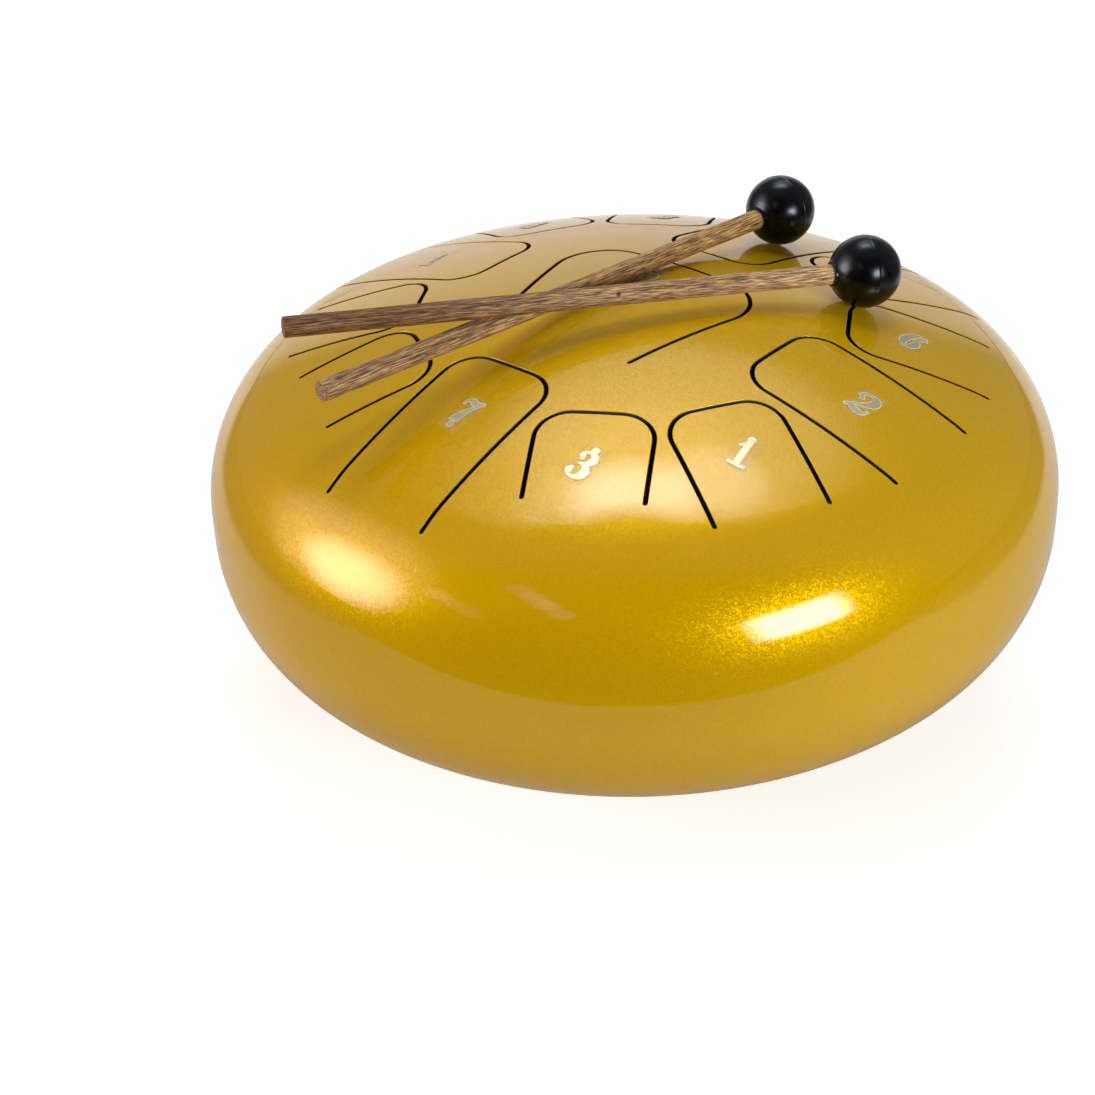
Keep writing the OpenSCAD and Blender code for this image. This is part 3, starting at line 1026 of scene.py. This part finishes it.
def inkDot(x, y, radius):
    startClean()
    bpy.ops.mesh.primitive_circle_add(vertices=label["dotSides"], radius=radius * mm, fill_type="NGON",
                                      location=(x * mm, y * mm, 0))
    dot = bpy.context.object
    applyPlace()
    return raiseFoil(dot)


def raiseFoil(piece):
    bpy.ops.object.mode_set(mode="EDIT")
    bpy.ops.mesh.select_all(action="SELECT")
    extrudeUp(label["foil"] * mm)
    tidyNormals()
    bpy.ops.object.mode_set(mode="OBJECT")
    return piece


def unite(parts):
    whole = parts[0]
    for part in parts[1:]:
        combine(whole, part, "UNION")
    return whole


def setAskew(piece, name):
    angle = math.radians(label["askew"].get(name, 0))
    piece.data.transform(Matrix.Rotation(angle, 4, "Z"))


def makeFilm(name, centre):
    startClean()
    across, along = label["steps"]
    bpy.ops.mesh.primitive_grid_add(x_subdivisions=across, y_subdivisions=along, size=mm)
    piece = bpy.context.object
    bpy.ops.object.mode_set(mode="EDIT")
    bpy.ops.transform.resize(value=(label["width"], label["height"], 1))
    bpy.ops.mesh.select_all(action="SELECT")
    extrudeUp(label["film"] * mm)
    bpy.ops.mesh.inset(thickness=label["cutEdge"] * mm)
    tidyNormals()
    bpy.ops.object.mode_set(mode="OBJECT")
    inner = [(label[side] / 2 - label["edgeReach"] * label["cutEdge"]) * mm for side in ("width", "height")]
    for face in piece.data.polygons:
        # the cut edge shows as a thin line all round
        inside = abs(face.center.x) < inner[0] and abs(face.center.y) < inner[1]
        face.material_index = 0 if inside else 1
    setAskew(piece, name)
    onDome(piece, centre, label["glue"])
    smoothByAngle(piece, label["crease"])
    dress(piece, "film_of_" + name, "drum", "label_foil", [film, filmEdge], name)


def makeNumeral(name, centre, part, grow, lift, material):
    # label_high_3 reads 3 with a dot over it, label_low_7 reads 7 with a dot under it
    dotted = "high" in name or "low" in name
    height = label["dottedHeight"] if dotted else label["digitHeight"]
    base = -height / 2
    dots = []
    if "high" in name:
        base -= label["digitShift"]
        dots = [inkDot(0, base + height + label["dotGap"], label["dotRadius"] + grow)]
    if "low" in name:
        base += label["digitShift"]
        dots = [inkDot(0, base - label["dotGap"], label["dotRadius"] + grow)]
    strokes = [inkStroke(points, height / gridHeight, base, grow) for points in numerals[name[-1]]]
    piece = unite(strokes + dots)
    setAskew(piece, name)
    onDome(piece, centre, lift)
    smoothByAngle(piece, label["inkCrease"])
    dress(piece, part + name, "drum", "label_foil", [material])


def makeLabel(name):
    low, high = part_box(name)
    centre = (low + high) / 2
    makeFilm(name, centre)
    top = label["glue"] + label["film"]
    makeNumeral(name, centre, "printed_rim_of_", label["rim"], top, paleFoil)
    makeNumeral(name, centre, "numeral_of_", 0.0, top + label["foil"], foil)


for tongue in tongues:
    makeLabel(tongue[0])
makeLabel("label_low_5")
print("labels stuck on")


# Mallets: turned wooden sticks in moulded rubber balls

mallet = {
    "headRadius": 12.5,
    "headSegments": 96,
    "headRings": 64,
    "stickRadius": 3.5,
    "stickSides": 48,
    "stickSteps": 60,
    "stickBare": 12.0,  # from here on the stick is slightly uneven
    "endClear": 2.0,
    "waver": 0.012,
    "waverLengths": (17.0, 6.1),
    "chamfer": 0.5,
    "chamferSteps": 2,
    "glue": 0.05,
    "socketPast": 3.0,
    "collar": 0.9,
    "collarOut": 0.15,
    "collarFoot": 0.1,
    "collarRound": 0.25,
    "mouthRound": 0.2,
    "mouldLine": 0.08,
    "mouldWidth": 0.4,
    "mouldSteps": 2,
    "mouldReach": 0.01,  # vertices this near to the head's middle plane are on the mould line
    "crease": 35,  # edges sharper than this stay sharp, in degrees
}
grain = {
    "bandsPerMetre": 700.0,
    "bandStretch": 0.04,
    "poresPerMetre": 3500.0,
    "poreStretch": 0.045,
    "fibreDetail": 3.0,
    "fibreRoughness": 0.6,
    "streaks": [(0.37, (0.14, 0.09, 0.06)), (0.45, (0.55, 0.47, 0.40)), (0.52, (1.0, 0.97, 0.93)),
                (0.60, (2.2, 2.1, 1.75))],
    "streakShare": 0.9,
    "towardsHandle": (0.03, 0.17),  # the colour shifts to the handle's tint between these distances, in metres from the head
    "eye": [(0.15, (0.10, 0.03, 0.02)), (0.35, (0.45, 0.25, 0.18)), (0.6, (1.15, 1.0, 0.85)),
            (1.0, (1, 1, 1))],
    "reliefStrength": 0.55,
    "reliefHeight": 0.12,
    "roughness": 0.55,
    "specular": 0.35,
}
mallets = {
    "lower_mallet": {
        "length": 207.7, "azimuth": 261.79, "elevation": 0.86,
        "wood": {"tones": [(0.30, (0.29, 0.158, 0.052)), (0.70, (0.54, 0.345, 0.15))],
                 "handle": (0.80, 0.84, 1.02)}},
    "upper_mallet": {
        "length": 201.7, "azimuth": 237.30, "elevation": 4.05,
        "wood": {"tones": [(0.30, (0.34, 0.20, 0.094)), (0.70, (0.56, 0.39, 0.215))],
                 "handle": (0.42, 0.34, 0.23), "knot": (3.06, 1.71, 90.1), "knotReach": 1.8}},
}


def woodMaterial(name, place, turn, wood):
    # grain runs along the stick: the mapping turns the pattern onto the stick's own axis
    material, tree, here = newMaterial(name)
    own = addNode(tree, "ShaderNodeMapping", {"Vector": here, "Location": place, "Rotation": turn},
                  vector_type="TEXTURE"), "Vector"

    def fibres(perMetre, stretch):
        long = addNode(tree, "ShaderNodeMapping", {"Vector": own, "Scale": (1.0, 1.0, stretch)})
        return noise(tree, (long, "Vector"), perMetre, grain["fibreDetail"], grain["fibreRoughness"])

    bands = fibres(grain["bandsPerMetre"], grain["bandStretch"])
    pores = fibres(grain["poresPerMetre"], grain["poreStretch"])
    body = ramp(tree, bands, wood["tones"])
    grained = multiply(tree, body, ramp(tree, pores, grain["streaks"]), grain["streakShare"])
    apart = addNode(tree, "ShaderNodeSeparateXYZ", {"Vector": own})
    # the stick's colour shifts to its handle tint towards the handle end
    handleShare = mapRange(tree, (apart, "Z"), *grain["towardsHandle"])
    colour = multiply(tree, grained, ramp(tree, handleShare, [(0.0, (1.0, 1.0, 1.0)), (1.0, wood["handle"])]))
    if "knot" in wood:
        fromKnot = vectorMath(tree, "DISTANCE", own, Vector(wood["knot"]) * mm, output="Value")
        reach = mapRange(tree, fromKnot, 0.0, wood["knotReach"] * mm)
        colour = multiply(tree, colour, ramp(tree, reach, grain["eye"]))
    return shaded(material, {
        "Base Color": colour, "Roughness": grain["roughness"], "Specular IOR Level": grain["specular"],
        "Normal": bump(tree, pores, grain["reliefStrength"], grain["reliefHeight"])})


def layAlong(piece, place, turn):
    # the piece is made along +Z from the middle of the head; its place goes into its mesh
    piece.data.transform(Matrix.Translation(place) @ turn.to_matrix().to_4x4())
    piece.data.update()


def makeStick(body, place, turn, length, wood):
    startClean()
    depth = (length + mallet["socketPast"]) * mm
    bpy.ops.mesh.primitive_cylinder_add(vertices=mallet["stickSides"], radius=mallet["stickRadius"] * mm,
                                        depth=depth, location=(0, 0, depth / 2 - mallet["socketPast"] * mm))
    stick = bpy.context.object
    applyPlace()
    bpy.ops.object.mode_set(mode="EDIT")
    pickFaces(stick, lambda face: face.normal.z > levelFacing)
    bpy.ops.mesh.bevel(offset=mallet["chamfer"] * mm, segments=mallet["chamferSteps"], affect="EDGES")
    # rings along the stick, for its slight unevenness
    ringed = length - mallet["endClear"] + mallet["socketPast"]
    for k in range(1, mallet["stickSteps"]):
        level = (-mallet["socketPast"] + ringed * k / mallet["stickSteps"]) * mm
        bpy.ops.mesh.select_all(action="SELECT")
        bpy.ops.mesh.bisect(plane_co=(0, 0, level), plane_no=(0, 0, 1))
    bpy.ops.object.mode_set(mode="OBJECT")
    slow, fast = mallet["waverLengths"]
    for vertex in stick.data.vertices:
        z = vertex.co.z / mm
        if z > mallet["stickBare"]:
            turned = 2 * math.atan2(vertex.co.y, vertex.co.x)
            share = 1 + mallet["waver"] * (math.sin(z / slow + length) * math.sin(z / fast + turned) - 1)
            vertex.co.x *= share
            vertex.co.y *= share
    smoothByAngle(stick, mallet["crease"])
    layAlong(stick, place, turn)
    material = woodMaterial(body + "_wood", place, turn, wood)
    dress(stick, body + "_wooden_stick", body, "stick_wood", [material], body + "_stick")


def makeHead(body, place, turn):
    startClean()
    bpy.ops.mesh.primitive_uv_sphere_add(segments=mallet["headSegments"], ring_count=mallet["headRings"],
                                         radius=mallet["headRadius"] * mm)
    head = bpy.context.object
    # mould line: the middle loop of edges is widened and pulled out a little
    bpy.ops.object.mode_set(mode="EDIT")
    near = mallet["mouldReach"] * mm
    mesh = pickEdges(head, lambda edge: all(abs(v.co.z) < near for v in edge.verts))
    bpy.ops.mesh.bevel(offset=mallet["mouldWidth"] / 2 * mm, segments=mallet["mouldSteps"], affect="EDGES")
    for vertex in mesh.verts:
        if abs(vertex.co.z) < near:
            reach = math.hypot(vertex.co.x, vertex.co.y)
            grow = (mallet["headRadius"] + mallet["mouldLine"]) * mm / reach
            vertex.co.x *= grow
            vertex.co.y *= grow
    # socket for the stick: the cap of the sphere is opened, drawn up into a collar and turned in
    hole = (mallet["stickRadius"] + mallet["glue"]) * mm
    collar = (mallet["stickRadius"] + mallet["collar"]) * mm

    def onCap(face):
        centre = face.calc_center_median()
        return centre.z > 0 and math.hypot(centre.x, centre.y) < collar

    pickFaces(head, onCap)
    bpy.ops.mesh.delete(type="FACE")
    mesh = pickEdges(head, lambda edge: edge.is_boundary)
    mouth = max(v.co.z for v in mesh.verts if v.is_boundary)
    edgeRadius = max(math.hypot(v.co.x, v.co.y) for v in mesh.verts if v.is_boundary)
    top = (mallet["headRadius"] + mallet["collarOut"]) * mm
    outerRound, innerRound = mallet["collarRound"] * mm, mallet["mouthRound"] * mm
    # each step: height of the loop and its radius
    steps = [(mouth + mallet["collarFoot"] * mm, collar), (top - outerRound, collar),
             (top, collar - outerRound), (top, hole + innerRound), (top - innerRound, hole),
             (-mallet["socketPast"] * mm, hole)]
    here, radius = mouth, edgeRadius
    for height, wide in steps:
        extrudeUp(height - here)
        bpy.ops.transform.resize(value=(wide / radius, wide / radius, 1), center_override=(0, 0, height))
        here, radius = height, wide
    bpy.ops.mesh.edge_face_add()
    tidyNormals()
    bpy.ops.object.mode_set(mode="OBJECT")
    smoothByAngle(head, mallet["crease"])
    layAlong(head, place, turn)
    dress(head, body + "_rubber_head", body, "head_rubber", [headRubber], body + "_head")


def makeMallet(body):
    facts = mallets[body]
    a, e = math.radians(facts["azimuth"]), math.radians(facts["elevation"])
    way = Vector((math.cos(a) * math.cos(e), math.sin(a) * math.cos(e), math.sin(e)))
    low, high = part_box(body + "_head")
    centre = (low + high) / 2
    turn = way.to_track_quat("Z", "Y").to_euler()
    makeStick(body, centre, turn, facts["length"], facts["wood"])
    makeHead(body, centre, turn)


for body in mallets:
    makeMallet(body)
print("mallets laid down")
